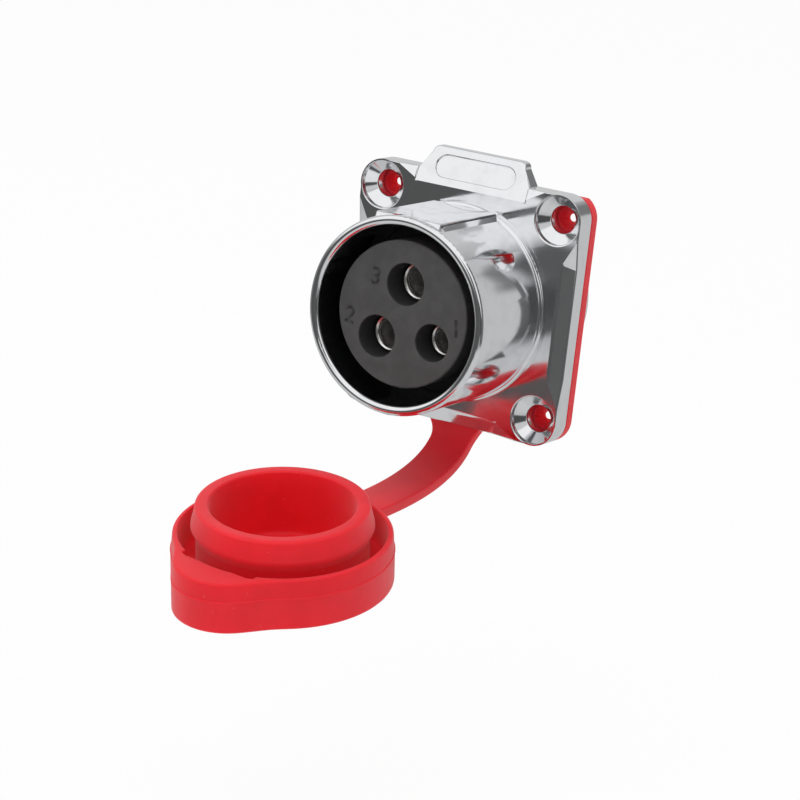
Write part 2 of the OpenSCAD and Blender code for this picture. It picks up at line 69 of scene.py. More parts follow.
class Wire:
    """An output socket of a material, on which plain sums add Math nodes."""

    def __init__(self, tree, socket=None):
        self.tree = tree
        self.socket = socket

    def node(self, kind, settings=None, inputs=None, output=0):
        made = self.tree.nodes.new(kind)
        for name, value in (settings or {}).items():
            if name == "stops":
                elements = made.color_ramp.elements
                for _ in value[2:]:
                    elements.new(1.0)
                for element, (place, colour) in zip(elements, value):
                    element.position = place
                    element.color = (*colour, 1.0)
            else:
                setattr(made, name, value)
        for name, value in (inputs or {}).items():
            self.feed(made.inputs[name], value)
        return Wire(self.tree, made.outputs[output])

    def feed(self, socket, value):
        if isinstance(value, Wire):
            self.tree.links.new(value.socket, socket)
        else:
            socket.default_value = value

    def sum(self, operation, first, second):
        return self.node("ShaderNodeMath", {"operation": operation}, {0: first, 1: second})

    def __add__(self, other):
        return self.sum("ADD", self, other)

    def __radd__(self, other):
        return self.sum("ADD", other, self)

    def __sub__(self, other):
        return self.sum("SUBTRACT", self, other)

    def __rsub__(self, other):
        return self.sum("SUBTRACT", other, self)

    def __mul__(self, other):
        return self.sum("MULTIPLY", self, other)

    def __rmul__(self, other):
        return self.sum("MULTIPLY", other, self)


def new_finish(name, constants):
    """A material with its fixed values set, a wire to build on, and its shader."""
    material = bpy.data.materials.new(name)
    material.use_nodes = True
    shader = material.node_tree.nodes["Principled BSDF"]
    for socket, value in constants.items():
        shader.inputs[socket].default_value = value
    return material, Wire(material.node_tree), shader


def place_of(wire):
    return wire.node("ShaderNodeTexCoord", output="Object")


def grain(wire, place, size_mm, detail=2.0):
    """Soft noise from 0 to 1 whose patches are about size_mm across."""
    inputs = {"Vector": place, "Scale": 1.0 / (size_mm * MM), "Detail": detail}
    return wire.node("ShaderNodeTexNoise", {}, inputs)


def ramp(value, low, high):
    """0 below low, 1 above high, smooth between."""
    settings = {"interpolation_type": "SMOOTHSTEP"}
    return value.node("ShaderNodeMapRange", settings, {"Value": value, "From Min": low, "From Max": high})


def tint(mask, first, second):
    """First colour where mask is 0, second where it is 1."""
    return mask.node("ShaderNodeMix", {"data_type": "RGBA"}, {0: mask, 6: first, 7: second}, 2)


def bump(height, depth_mm):
    return height.node("ShaderNodeBump", {}, {"Height": height, "Distance": depth_mm * MM, "Strength": 1.0})


def dress(piece, material):
    """The piece takes this material all over."""
    piece.data.materials.clear()
    piece.data.materials.append(material)


def true_normals(source, solid, skin):
    """Corner normals of a softened copy: the CAD's own on its faces, blended over the round edges."""
    mesh = source.data
    faces = [tuple(polygon.vertices) for polygon in mesh.polygons]
    tree = BVHTree.FromPolygons([v.co for v in mesh.vertices], faces)
    exact = {}
    for face in solid.faces:
        if face.material_index == ROUNDED:
            continue
        middle = face.calc_center_median()
        for corner in face.loops:
            spot, _, index, off = tree.find_nearest(corner.vert.co.lerp(middle, 0.03))
            loops = mesh.polygons[index].loop_indices
            shares = poly_3d_calc([mesh.vertices[mesh.loops[i].vertex_index].co for i in loops], spot)
            found = sum((mesh.corner_normals[i].vector * s for i, s in zip(loops, shares)), Vector())
            found.normalize()
            same = off < SAME_PLACE * MM and found.dot(face.normal) > SAME_WAY
            curved = skin and skin(corner.vert.co)
            if curved and curved.dot(face.normal) > 0.8:
                exact[corner] = curved
            else:
                exact[corner] = found if same else face.normal.copy()
    normals = []
    for face in solid.faces:
        for corner in face.loops:
            if corner in exact:
                normals.append(exact[corner])
                continue
            beside = [c for c in corner.vert.link_loops if c in exact
                      and any(face in e.link_faces for e in c.face.edges if corner.vert in e.verts)]
            if beside:
                normals.append(max((exact[c] for c in beside), key=lambda n: n.dot(face.normal)))
            else:
                normals.append(corner.vert.normal.copy())
    return normals


def built_up(mesh, points, faces):
    """The mesh joined to a small closed form given by points in mm."""
    added = bpy.data.meshes.new("added")
    added.from_pydata([Vector(p) * MM for p in points], [], faces)
    bodies = [bpy.data.objects.new("base", mesh), bpy.data.objects.new("added", added)]
    for body in bodies:
        bpy.context.scene.collection.objects.link(body)
    join = bodies[0].modifiers.new("join", "BOOLEAN")
    join.operation = "UNION"
    join.solver = "EXACT"
    join.object = bodies[1]
    bpy.context.view_layer.update()
    joined = bpy.data.meshes.new_from_object(bodies[0].evaluated_get(bpy.context.evaluated_depsgraph_get()))
    for body in bodies:
        bpy.data.objects.remove(body)
    return joined


def rounded(solid, edges, width_mm):
    """Rounds these edges; the new faces are told apart by their material's place."""
    bmesh.ops.bevel(solid, geom=edges, offset=width_mm * MM, offset_type="OFFSET", segments=3, profile=0.5,
                    affect="EDGES", clamp_overlap=False, material=ROUNDED, loop_slide=False)
    solid.normal_update()


def soften(node, name, width_mm, raised=None, reshape=None, ramp_mm=0.0):
    """A copy of a CAD part with its outer edges rounded, which stands in for that part."""
    solid = bmesh.new()
    solid.from_mesh(nodes[node].data)
    bmesh.ops.remove_doubles(solid, verts=solid.verts, dist=WELD * MM)
    skin = reshape(solid) if reshape else None
    if raised:
        plain = bpy.data.meshes.new("plain")
        solid.to_mesh(plain)
        solid.clear()
        solid.from_mesh(built_up(plain, *raised))
        bmesh.ops.remove_doubles(solid, verts=solid.verts, dist=WELD * MM)
    for face in solid.faces:
        face.material_index = 0
    solid.normal_update()
    if ramp_mm:
        ramps = [e for e in solid.edges if e.is_convex and all(f.normal.y < -SAME_WAY for f in e.link_faces)
                 and math.radians(RAMP_LEAST_DEG) < e.calc_face_angle() < math.radians(SHARP_DEG)
                 and e.calc_length() > RAMP_LONG * MM and max(v.co.z for v in e.verts) < RAMP_HIGHEST * MM]
        rounded(solid, ramps, ramp_mm)
    outer = [e for e in solid.edges if e.is_convex and e.calc_face_angle() > math.radians(SHARP_DEG)
             and e.calc_length() > SHORTEST * MM]
    rounded(solid, outer, width_mm)
    normals = true_normals(nodes[node], solid, skin)
    for face in solid.faces:
        face.material_index = 0
    mesh = bpy.data.meshes.new(name)
    solid.to_mesh(mesh)
    solid.free()
    mesh.polygons.foreach_set("use_smooth", [True] * len(mesh.polygons))
    mesh.normals_split_custom_set(normals)
    piece = bpy.data.objects.new(name, mesh)
    bpy.context.scene.collection.objects.link(piece)
    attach(piece, "connector")
    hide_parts(node)
    return piece


CHROME = (0.86, 0.87, 0.885, 1.0)
CHROME_DULL = (0.80, 0.81, 0.83, 1.0)
SHELL_EDGE = 0.2
RAMP_EDGE = 0.3
BOSS_HALF = 4.7
BOSS_TOP = 12.5
BOSS_FOOT = 11.5
BOSS_FRONT = -19.62
BOSS_NOSE = 0.4
BOSS_BACK = -5.4
LIP_FACE = -20.2
LIP_MID_R = 12.025
LIP_HALF = 0.625
LIP_DEEP = 0.5
LIP_BAND = 0.42
LIP_CROSS = 0.2


def round_lip(solid):
    """Turns the barrel's lip into one full round, and returns the way its surface faces."""

    def part(place):
        r = math.hypot(place.x, place.z) / MM
        return r, max(-1.0, min(1.0, (r - LIP_MID_R) / LIP_HALF))

    flat = {v for v in solid.verts if abs(v.co.y - LIP_FACE * MM) < WELD * MM}
    across = [e for e in solid.edges if set(e.verts) <= flat
              and abs(part(e.verts[0].co)[0] - part(e.verts[1].co)[0]) > LIP_CROSS]
    bmesh.ops.subdivide_edges(solid, edges=across, cuts=3)
    for vert in solid.verts:
        if vert.co.y < (LIP_FACE + LIP_BAND) * MM:
            t = part(vert.co)[1]
            vert.co.y = (LIP_FACE + LIP_DEEP * (1 - math.sqrt(1 - t * t))) * MM

    def facing(place):
        r, t = part(place)
        if place.y > (LIP_FACE + LIP_DEEP + WELD) * MM or abs(r - LIP_MID_R) > LIP_HALF + WELD:
            return None
        out = t * LIP_DEEP / LIP_HALF
        return Vector((place.x / MM / r * out, -math.sqrt(1 - t * t), place.z / MM / r * out)).normalized()

    return facing


chrome, wire, shader = new_finish("polished_chrome", {"Metallic": 1.0})
place = place_of(wire)
waves = grain(wire, place, 6.0)
smears = grain(wire, place, 2.2, 4.0)
polish = grain(wire, place, 0.25, 3.0)
wire.feed(shader.inputs["Base Color"], tint(ramp(smears, 0.45, 0.75), CHROME, CHROME_DULL))
wire.feed(shader.inputs["Roughness"], 0.08 + 0.05 * ramp(smears, 0.4, 0.8) + 0.02 * polish)
wire.feed(shader.inputs["Normal"], bump(waves + 0.02 * polish, 0.02))
side = ((BOSS_FRONT, BOSS_FOOT), (BOSS_FRONT + BOSS_NOSE, BOSS_TOP),
        (BOSS_BACK, BOSS_TOP), (BOSS_BACK, BOSS_FOOT))
boss = [(x, y, z) for x in (-BOSS_HALF, BOSS_HALF) for y, z in side]
boss_faces = [(0, 1, 2, 3), (7, 6, 5, 4), (0, 4, 5, 1), (1, 5, 6, 2), (2, 6, 7, 3), (3, 7, 4, 0)]
shell = soften("shell", "chrome_casting", SHELL_EDGE,
               raised=(boss, boss_faces), reshape=round_lip, ramp_mm=RAMP_EDGE)
dress(shell, chrome)


# Gasket: flat red silicone seal under the flange, moulded in one with the strap and the cap.
# Its screw holes are smaller than the flange's and grip the screw, so rubber shows in each countersink.
RUBBER = (0.84, 0.003, 0.016, 1.0)
RUBBER_DEEP = (0.77, 0.002, 0.013, 1.0)
RUBBER_DUST = (0.86, 0.22, 0.22, 1.0)
DUST_APART = 1.1
SCATTER = 0.6
GASKET_EDGE = 0.15
SILICONE = {"IOR": 1.41, "Sheen Weight": 0.2, "Sheen Roughness": 0.5,
            "Subsurface Radius": (1.0, 0.1, 0.1), "Subsurface Scale": 2.4 * MM}


def silicone(name, scatter):
    """Soft red silicone, moulded and a little dusty; scatter is the share of light that sinks in."""
    material, wire, shader = new_finish(name, SILICONE)
    shader.inputs["Subsurface Weight"].default_value = scatter
    place = place_of(wire)
    clouds = grain(wire, place, 5.0, 3.0)
    skin = grain(wire, place, 0.35, 3.0)
    cells = {"Vector": place, "Scale": 1.0 / (DUST_APART * MM)}
    dots = wire.node("ShaderNodeTexVoronoi", {}, cells)
    chosen = wire.node("ShaderNodeTexVoronoi", {}, cells, "Color")
    luck = wire.node("ShaderNodeSeparateColor", {}, {"Color": chosen})
    dust = (1 - ramp(dots, 0.05, 0.10)) * ramp(luck, 0.6, 0.7)
    body = tint(ramp(clouds, 0.3, 0.75), RUBBER, RUBBER_DEEP)
    wire.feed(shader.inputs["Base Color"], tint(0.35 * dust, body, RUBBER_DUST))
    wire.feed(shader.inputs["Roughness"], 0.46 + 0.10 * clouds + 0.08 * skin)
    wire.feed(shader.inputs["Normal"], bump(skin, 0.012))
    return material


def mesh_piece(name, points, faces, sharp_deg=35.0):
    """A mesh from points in mm, shaded smooth except at edges sharper than sharp_deg."""
    mesh = bpy.data.meshes.new(name)
    mesh.from_pydata([Vector(p) * MM for p in points], [], faces)
    mesh.validate()
    mesh.polygons.foreach_set("use_smooth", [True] * len(mesh.polygons))
    mesh.set_sharp_from_angle(angle=math.radians(sharp_deg))
    piece = bpy.data.objects.new(name, mesh)
    bpy.context.scene.collection.objects.link(piece)
    return piece


def arc(centre, radius, start_deg, end_deg, steps):
    """Points on an arc, both ends included."""
    turns = [math.radians(start_deg + (end_deg - start_deg) * i / steps) for i in range(steps + 1)]
    return [(centre[0] + radius * math.cos(a), centre[1] + radius * math.sin(a)) for a in turns]


red_silicone = silicone("red_silicone", SCATTER)
gasket = soften("gasket", "flange_gasket", GASKET_EDGE)
dress(gasket, red_silicone)

HOLE_PITCH = 26.0
HOLE_LIP_R = 1.74
HOLE_BORE_R = 0.5
HOLE_FUNNEL_R = 1.35
HOLE_LIP_FRONT = -1.47
HOLE_LIP_BACK = -0.03
HOLE_LIP_ROUND = 0.12
HOLE_STEPS = 40

section = [(HOLE_LIP_R, HOLE_LIP_BACK), (HOLE_LIP_R, HOLE_LIP_FRONT)]
section += arc((HOLE_FUNNEL_R + HOLE_LIP_ROUND, HOLE_LIP_FRONT + HOLE_LIP_ROUND), HOLE_LIP_ROUND, 270, 200, 3)
section += arc((HOLE_BORE_R + HOLE_LIP_ROUND, HOLE_LIP_BACK - HOLE_LIP_ROUND), HOLE_LIP_ROUND, 200, 90, 4)
points = []
faces = []
for side_x in (-1, 1):
    for side_z in (-1, 1):
        hole_x, hole_z = side_x * HOLE_PITCH / 2, side_z * HOLE_PITCH / 2
        first = len(points)
        count = len(section)
        for i in range(HOLE_STEPS):
            turn = 2 * math.pi * i / HOLE_STEPS
            points += [(hole_x + r * math.cos(turn), y, hole_z + r * math.sin(turn)) for r, y in section]
        for i in range(HOLE_STEPS):
            a = first + i * count
            b = first + (i + 1) % HOLE_STEPS * count
            faces += [(a + k, a + (k + 1) % count, b + (k + 1) % count, b + k) for k in range(count)]
gasket_lips = mesh_piece("gasket_hole_lips", points, faces)
dress(gasket_lips, red_silicone)
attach(gasket_lips, "connector")


# Strap: the flexible strip that tethers the cap, moulded with the gasket and widening into its lower edge.
# The real strap bends as the cap is pushed on and as it swings; here it is two closed lengths that meet where
# it is split.
STRAP_PATH = [Vector(p) for p in ((0, -0.75, -16.3), (0, -0.75, -24.7),
                                  (-0.124, -20.314, -24.331), (-0.341, -22.761, -24.797))]
STRAP_ACROSS = (Vector((1, 0, 0)), Vector((0.99612, -0.08315, -0.02889)))
STRAP_HALF_W = 2.9
STRAP_HALF_T = 0.75
STRAP_EDGE = 0.3
STRAP_FLARE = 1.5
STRAP_FLARE_TO = 0.15
STRAP_ROOT = 0.5
STRAP_TAIL = 1.75
STRAP_STEPS = 72
STRAP_SPLIT_Y = -10.5
BEFORE_ROOT = -0.1
BEYOND_TAIL = 1.1
STRAP_SCATTER = 0.0

strap_silicone = silicone("strap_silicone", STRAP_SCATTER)


def strap_ring(t):
    """Section of the strap at t along its path; beyond the ends it runs straight on."""
    a, b, c, d = STRAP_PATH
    u = min(max(t, 0.0), 1.0)
    middle = (1 - u) ** 3 * a + 3 * u * (1 - u) ** 2 * b + 3 * u * u * (1 - u) * c + u ** 3 * d
    way = ((1 - u) ** 2 * (b - a) + 2 * u * (1 - u) * (c - b) + u * u * (d - c)).normalized()
    if t < 0:
        middle -= way * STRAP_ROOT
    if t > 1:
        middle += way * STRAP_TAIL
    across = STRAP_ACROSS[0].lerp(STRAP_ACROSS[1], u)
    across = (across - way * across.dot(way)).normalized()
    up = way.cross(across)
    half = STRAP_HALF_W + STRAP_FLARE * max(0.0, 1 - u / STRAP_FLARE_TO) ** 2
    inner = (half - STRAP_EDGE, STRAP_HALF_T - STRAP_EDGE)
    ring = []
    for turn, (sx, sy) in zip((0, 90, 180, 270), ((1, 1), (-1, 1), (-1, -1), (1, -1))):
        corner = arc((sx * inner[0], sy * inner[1]), STRAP_EDGE, turn, turn + 90, 4)
        ring += [middle + across * p + up * q for p, q in corner]
    return ring


def strap_length(name, steps):
    """One closed length of strap through the sections at these steps."""
    rings = [strap_ring(t) for t in steps]
    count = len(rings[0])
    points = [p for ring in rings for p in ring]
    faces = [tuple(reversed(range(count))), tuple(range(len(points) - count, len(points)))]
    for i in range(len(rings) - 1):
        for k in range(count):
            a, b = i * count + k, i * count + (k + 1) % count
            faces.append((a, b, b + count, a + count))
    piece = mesh_piece(name, points, faces)
    dress(piece, strap_silicone)
    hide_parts("cap_strap")
    return piece


def from_split(t):
    """How far along Y the section at t is from where the strap is split."""
    ring = strap_ring(t)
    return abs(sum(p.y for p in ring) / len(ring) - STRAP_SPLIT_Y)


steps = [i / STRAP_STEPS for i in range(STRAP_STEPS + 1)]
split = min(steps, key=from_split)
strap_upper = strap_length("strap_upper", [BEFORE_ROOT] + [t for t in steps if t <= split])
strap_lower = strap_length("strap_lower", [t for t in steps if t >= split] + [BEYOND_TAIL])
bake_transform(strap_upper)
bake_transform(strap_lower)


# Cap: one silicone moulding with a skirt that goes over the barrel, a plug ring that goes into it,
# a pocket for the latch flat's shoulders and a rounded pull tab. Its parting line runs round the skirt.
SKIRT_R = 13.7
LOBE_R = 6.8
LOBE_D = 10.3
LOBE_WAIST = 0.2
GROOVE_R = 12.8
POCKET_R = 13.38
POCKET_HALF = 5.5
POCKET_Z = 12.55
RING_OUT_R = 11.2
RING_NECK_R = 10.6
RING_TIP_R = 10.7
RING_LIP_R = 9.0
RING_IN_R = 9.4
RING_ROUND = 0.45
RING_BEAD = -23.4
END_EDGE = 0.45
CAP_END = -30.7
CAP_FLOOR = -28.7
BORE_FLOOR = -29.5
PARTING = -26.5
SKIRT_EDGE = -24.2
RING_TIP = -20.6
PARTING_STEP = 0.12
END_DRAFT = 0.05
SKIRT_DRAFT = 0.1
LOBE_DRAFT = 0.1
SKIRT_ROUND = 0.4
GROOVE_EDGE = 0.15
GROOVE_FILLET = 0.4
GROOVE_STRAIGHT = 1.6
BORE_EDGE = 0.3
BORE_FILLET = 0.6
CAP_TURNS = 180
TURNS_APART = 0.009

# Step at the parting line: depth in from the outline, place along the axis from the line.
PARTING_PROFILE = ((0.04, -0.25), (0.0, -0.10), (0.0, -0.02),
                   (PARTING_STEP, 0.06), (PARTING_STEP + 0.01, 0.3))
# Bead round the plug ring: radius, place along the axis from its crest.
BEAD_PROFILE = ((RING_NECK_R, -1.3), (RING_NECK_R + 0.08, -1.05), (RING_OUT_R - 0.12, -0.3),
                (RING_OUT_R, 0.0), (RING_OUT_R - 0.06, 0.4))
# Inside of the plug ring below its lip: radius, place along the axis.
BORE_PROFILE = ((RING_LIP_R + 0.06, SKIRT_EDGE + 1.0), (RING_IN_R, SKIRT_EDGE - 1.5),
                (RING_IN_R, BORE_FLOOR + 1.4))


def cap_outside(turn):
    """Radius of the cap's outline in the direction turn, from the tab's middle."""
    lean = math.asin((SKIRT_R - LOBE_R) / LOBE_D)
    low = math.atan2(LOBE_R * math.cos(lean), LOBE_D + LOBE_R * math.sin(lean))
    high = math.pi / 2 - lean
    a = abs(turn)
    if a >= high:
        return SKIRT_R
    if a <= low:
        return LOBE_D * math.cos(a) + math.sqrt(LOBE_R ** 2 - (LOBE_D * math.sin(a)) ** 2)
    flank = SKIRT_R / math.cos(a - high)
    return flank - LOBE_WAIST * math.sin(math.pi * (a - low) / (high - low)) ** 2


def cap_inside(turn):
    """Radius of the groove's outer wall, with the pocket for the latch shoulders."""
    a = abs(turn)
    if a > math.pi / 3:
        return GROOVE_R
    pocket = min(POCKET_R, POCKET_Z / math.cos(a))
    if a > 1e-6:
        pocket = min(pocket, POCKET_HALF / math.sin(a))
    return max(GROOVE_R, pocket)


def cap_section(turn):
    """Points of radius and axis place from the end's middle round to the floor's middle."""
    out = cap_outside(turn)
    wall = cap_inside(turn)
    draft = SKIRT_DRAFT + LOBE_DRAFT * max(0.0, math.cos(turn))
    top_out = out - PARTING_STEP - draft
    section = [(0.45 * out, CAP_END), (0.8 * out, CAP_END)]
    section += arc((out - END_EDGE - END_DRAFT, CAP_END + END_EDGE), END_EDGE, 270, 360, 5)
    section += [(out - depth, PARTING + y) for depth, y in PARTING_PROFILE]
    section += arc((top_out - SKIRT_ROUND, SKIRT_EDGE - SKIRT_ROUND), SKIRT_ROUND, 0, 90, 5)
    section += arc((wall + GROOVE_EDGE, SKIRT_EDGE - GROOVE_EDGE), GROOVE_EDGE, 90, 180, 3)
    section += [(wall, CAP_FLOOR + GROOVE_STRAIGHT)]
    section += arc((wall - GROOVE_FILLET, CAP_FLOOR + GROOVE_FILLET), GROOVE_FILLET, 0, -90, 3)
    section += arc((RING_NECK_R + GROOVE_FILLET, CAP_FLOOR + GROOVE_FILLET), GROOVE_FILLET, 270, 180, 3)
    section += [(r, RING_BEAD + y) for r, y in BEAD_PROFILE]
    section += [(RING_TIP_R + 0.12, RING_TIP - 1.2)]
    section += arc((RING_TIP_R - RING_ROUND, RING_TIP - RING_ROUND), RING_ROUND, 0, 90, 6)
    section += arc((RING_LIP_R + BORE_EDGE, RING_TIP - BORE_EDGE), BORE_EDGE, 90, 180, 5)
    section += BORE_PROFILE
    section += arc((RING_IN_R - BORE_FILLET, BORE_FLOOR + BORE_FILLET), BORE_FILLET, 0, -90, 4)
    section += [(0.5 * RING_IN_R, BORE_FLOOR)]
    return section


corners = [math.acos(POCKET_Z / GROOVE_R), math.acos(POCKET_Z / POCKET_R),
           math.asin(POCKET_HALF / POCKET_R), math.asin(POCKET_HALF / GROOVE_R)]
turns = [2 * math.pi * i / CAP_TURNS - math.pi for i in range(CAP_TURNS)]
turns = [t for t in turns if all(abs(abs(t) - c) > TURNS_APART for c in corners)]
turns = sorted(turns + corners + [-c for c in corners])
points = []
for turn in turns:
    points += [(r * math.sin(turn), y, r * math.cos(turn)) for r, y in cap_section(turn)]
count = len(cap_section(0.0))
points += [(0, CAP_END, 0), (0, BORE_FLOOR, 0)]
end_middle, floor_middle = len(points) - 2, len(points) - 1
faces = []
for i in range(len(turns)):
    a = i * count
    b = (i + 1) % len(turns) * count
    faces += [(a + k, b + k, b + k + 1, a + k + 1) for k in range(count - 1)]
    faces += [(end_middle, b, a), (floor_middle, a + count - 1, b + count - 1)]
cap = mesh_piece("sealing_cap", points, faces, 50.0)
swing = next(j for j in frame["joints"] if j["name"] == "cap_swing")
pivot = Matrix.Translation(Vector(swing["pos_m"]))
open_turn = Matrix.Rotation(-math.radians(swing["range_deg"][1]), 4, Vector(swing["axis"]))
cap.data.transform(pivot @ open_turn @ pivot.inverted())
dress(cap, red_silicone)
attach(cap, "cap")
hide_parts("cap")


# Insulators: two dark moulded plastic inserts that hold the contacts between them.
# The front one shows in the mouth, with a moulded number beside each cavity.
PLASTIC = (0.055, 0.056, 0.056, 1.0)
PLASTIC_PALE = (0.069, 0.070, 0.070, 1.0)
PLASTIC_CAVITY_SHADE = (0.032, 0.032, 0.033, 1.0)
INSERT_FACE = -18.2
INSERT_EDGE = 0.1

plastic, wire, shader = new_finish("dark_moulded_plastic", {"IOR": 1.5})
place = place_of(wire)
mottle = grain(wire, place, 1.6, 4.0)
pitted = grain(wire, place, 0.18, 2.0)
depth = wire.node("ShaderNodeSeparateXYZ", {}, {"Vector": place}, "Y")
# All plastic lying behind the insert's face is painted darker: painted shade standing in for the shade down
# the cavities.
cavity_shade = ramp(depth, (INSERT_FACE + 0.1) * MM, (INSERT_FACE + 0.5) * MM)
skin = tint(ramp(mottle, 0.3, 0.75), PLASTIC, PLASTIC_PALE)
wire.feed(shader.inputs["Base Color"], tint(cavity_shade, skin, PLASTIC_CAVITY_SHADE))
wire.feed(shader.inputs["Roughness"], 0.5 + 0.2 * mottle)
wire.feed(shader.inputs["Normal"], bump(pitted + 0.5 * mottle, 0.015))
for name, made in (("front_insulator", "front_insert"), ("rear_insulator", "rear_insert")):
    dress(soften(name, made, INSERT_EDGE), plastic)

DIGIT_INK = (0.018, 0.018, 0.019, 1.0)
DIGIT_HIGH = 3.1
DIGIT_PROUD = 0.03
DIGIT_EDGE = 0.03
PIN_NUMBERS = (
    # number, x, z, turn in degrees
    ("1", 7.94, -0.3, -8),
    ("2", -7.53, -1.64, 8),
    ("3", -4.34, 3.98, 4),
)

number_mark, wire, shader = new_finish("moulded_number", {"IOR": 1.5})
worn = grain(wire, place_of(wire), 0.5, 3.0)
wire.feed(shader.inputs["Base Color"], tint(ramp(worn, 0.45, 0.7), DIGIT_INK, PLASTIC))
wire.feed(shader.inputs["Roughness"], 0.55 + 0.2 * worn)
wire.feed(shader.inputs["Normal"], bump(worn, 0.01))

for digit, x, z, turn in PIN_NUMBERS:
    text = bpy.data.curves.new("pin_number_" + digit, "FONT")
    text.body = digit
    text.size = DIGIT_HIGH * MM
    text.align_x = "CENTER"
    text.align_y = "CENTER"
    text.extrude = DIGIT_PROUD * MM
    text.bevel_depth = DIGIT_EDGE * MM
    flat = bpy.data.objects.new("pin_number_text_" + digit, text)
    bpy.context.scene.collection.objects.link(flat)
    bpy.context.view_layer.update()
    mesh = bpy.data.meshes.new_from_object(flat.evaluated_get(bpy.context.evaluated_depsgraph_get()))
    bpy.data.objects.remove(flat)
    stand = Matrix.Rotation(math.radians(90), 4, "X")
    spin = Matrix.Rotation(math.radians(turn), 4, "Y")
    mesh.transform(Matrix.Translation(Vector((x, INSERT_FACE, z)) * MM) @ spin @ stand)
    number = bpy.data.objects.new("pin_number_" + digit, mesh)
    bpy.context.scene.collection.objects.link(number)
    dress(number, number_mark)
    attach(number, "connector")


# Contacts: three turned brass sockets, silver plated, with a solder cup behind.
# Fine rings from the lathe run round them, and the plating is a little tarnished in patches.
SILVER = (0.92, 0.91, 0.89, 1.0)
SILVER_TARNISH = (0.74, 0.72, 0.68, 1.0)
SILVER_BORE_SHADE = (0.66, 0.65, 0.63, 1.0)
SOCKET_MOUTH = -14.7
CONTACT_EDGE = 0.12
SPRING_EDGE = 0.05
LEAD_IN = 0.08

silver, wire, shader = new_finish("silver_plated_brass", {})
place = place_of(wire)
along = wire.node("ShaderNodeVectorMath", {"operation": "MULTIPLY"}, {0: place, 1: (0.02, 1.0, 0.02)})
lathe = grain(wire, along, 0.12, 2.0)
patches = grain(wire, place, 1.4, 3.0)
depth = wire.node("ShaderNodeSeparateXYZ", {}, {"Vector": place}, "Y")
# Inside each socket, from just behind its mouth, the plating is painted darker, duller and less metallic:
# painted shade down the bores.
bore_shade = ramp(depth, (SOCKET_MOUTH + 0.3) * MM, (SOCKET_MOUTH + 1.2) * MM)
bore_shade = bore_shade * (1 - ramp(depth, 0.0, 2.0 * MM))
plate = tint(ramp(patches, 0.5, 0.8), SILVER, SILVER_TARNISH)
wire.feed(shader.inputs["Base Color"], tint(bore_shade, plate, SILVER_BORE_SHADE))
wire.feed(shader.inputs["Metallic"], 1 - 0.35 * bore_shade)
wire.feed(shader.inputs["Roughness"], 0.18 + 0.08 * patches + 0.06 * lathe + 0.12 * bore_shade)
wire.feed(shader.inputs["Normal"], bump(lathe, 0.008))


def lead_in(solid):
    """Sinks the inner half of a socket's end, so that it is a shallow funnel."""

    def at_mouth(vert):
        return abs(vert.co.y - SOCKET_MOUTH * MM) < WELD * MM

    end = [v.co.copy() for v in solid.verts if at_mouth(v)]
    middle = sum(end, Vector()) / len(end)

    def reach(place):
        return (place - middle).length

    inner = min(reach(place) for place in end)
    half = (inner + max(reach(place) for place in end)) / 2
    across = [e for e in solid.edges if all(at_mouth(v) for v in e.verts)
              and min(reach(v.co) for v in e.verts) < half < max(reach(v.co) for v in e.verts)]
    bmesh.ops.subdivide_edges(solid, edges=across, cuts=1)
    for vert in solid.verts:
        if at_mouth(vert) and reach(vert.co) < inner + WELD * MM:
            vert.co.y += LEAD_IN * MM


for i in (1, 2, 3):
    socket = soften(f"contact_{i}", f"socket_contact_{i}", CONTACT_EDGE, reshape=lead_in)
    dress(socket, silver)
    dress(soften(f"contact_spring_{i}", f"socket_spring_{i}", SPRING_EDGE), silver)


# Seals: black rubber rings round the insert, at the foot of the ring gap and behind each contact.
# They are plain mouldings with a matt skin.
RUBBER_BLACK = (0.016, 0.016, 0.017, 1.0)
RUBBER_BLOOM = (0.030, 0.030, 0.031, 1.0)

black_rubber, wire, shader = new_finish("black_seal_rubber", {"IOR": 1.45})
place = place_of(wire)
bloom = grain(wire, place, 0.9, 4.0)
skin = grain(wire, place, 0.12, 2.0)
wire.feed(shader.inputs["Base Color"], tint(ramp(bloom, 0.4, 0.8), RUBBER_BLACK, RUBBER_BLOOM))
wire.feed(shader.inputs["Roughness"], 0.55 + 0.2 * bloom)
wire.feed(shader.inputs["Normal"], bump(skin, 0.01))
for name in ("insert_seal", "face_seal", "contact_seal_1", "contact_seal_2", "contact_seal_3"):
    dress(nodes[name], black_rubber)


# Retaining ring: a stamped snap ring of spring steel that sits in the spigot's groove.
# It is tumbled and oiled, so it is grey with fine scratches along the strip.
STEEL = (0.42, 0.42, 0.43, 1.0)
STEEL_OILED = (0.22, 0.21, 0.20, 1.0)
SNAP_EDGE = 0.12

steel, wire, shader = new_finish("oiled_spring_steel", {"Metallic": 1.0})
place = place_of(wire)
oil = grain(wire, place, 2.0, 4.0)
scratches = grain(wire, place, 0.1, 3.0)
wire.feed(shader.inputs["Base Color"], tint(ramp(oil, 0.35, 0.7), STEEL, STEEL_OILED))
wire.feed(shader.inputs["Roughness"], 0.3 + 0.15 * oil + 0.1 * scratches)
wire.feed(shader.inputs["Normal"], bump(scratches, 0.006))
dress(soften("retaining_ring", "snap_ring", SNAP_EDGE), steel)


# Studio: a plain pale floor below the open cap, white all round, and a grey room that the chrome mirrors.
# The floor is part emission for what is seen directly, so that it is white and still keeps a soft shadow.
FLOOR_Z = -64.0
FLOOR_R = 1500.0
FLOOR_SIDES = 120
FLOOR_GREY = (0.86, 0.86, 0.86, 1.0)
FLOOR_PALE = (0.90, 0.90, 0.90, 1.0)
FLOOR_GLOW = 0.94
WHITE = (1.0, 1.0, 1.0, 1.0)
SKY_LIGHT = 0.66

scene = bpy.context.scene
scene.view_settings.view_transform = "Standard"


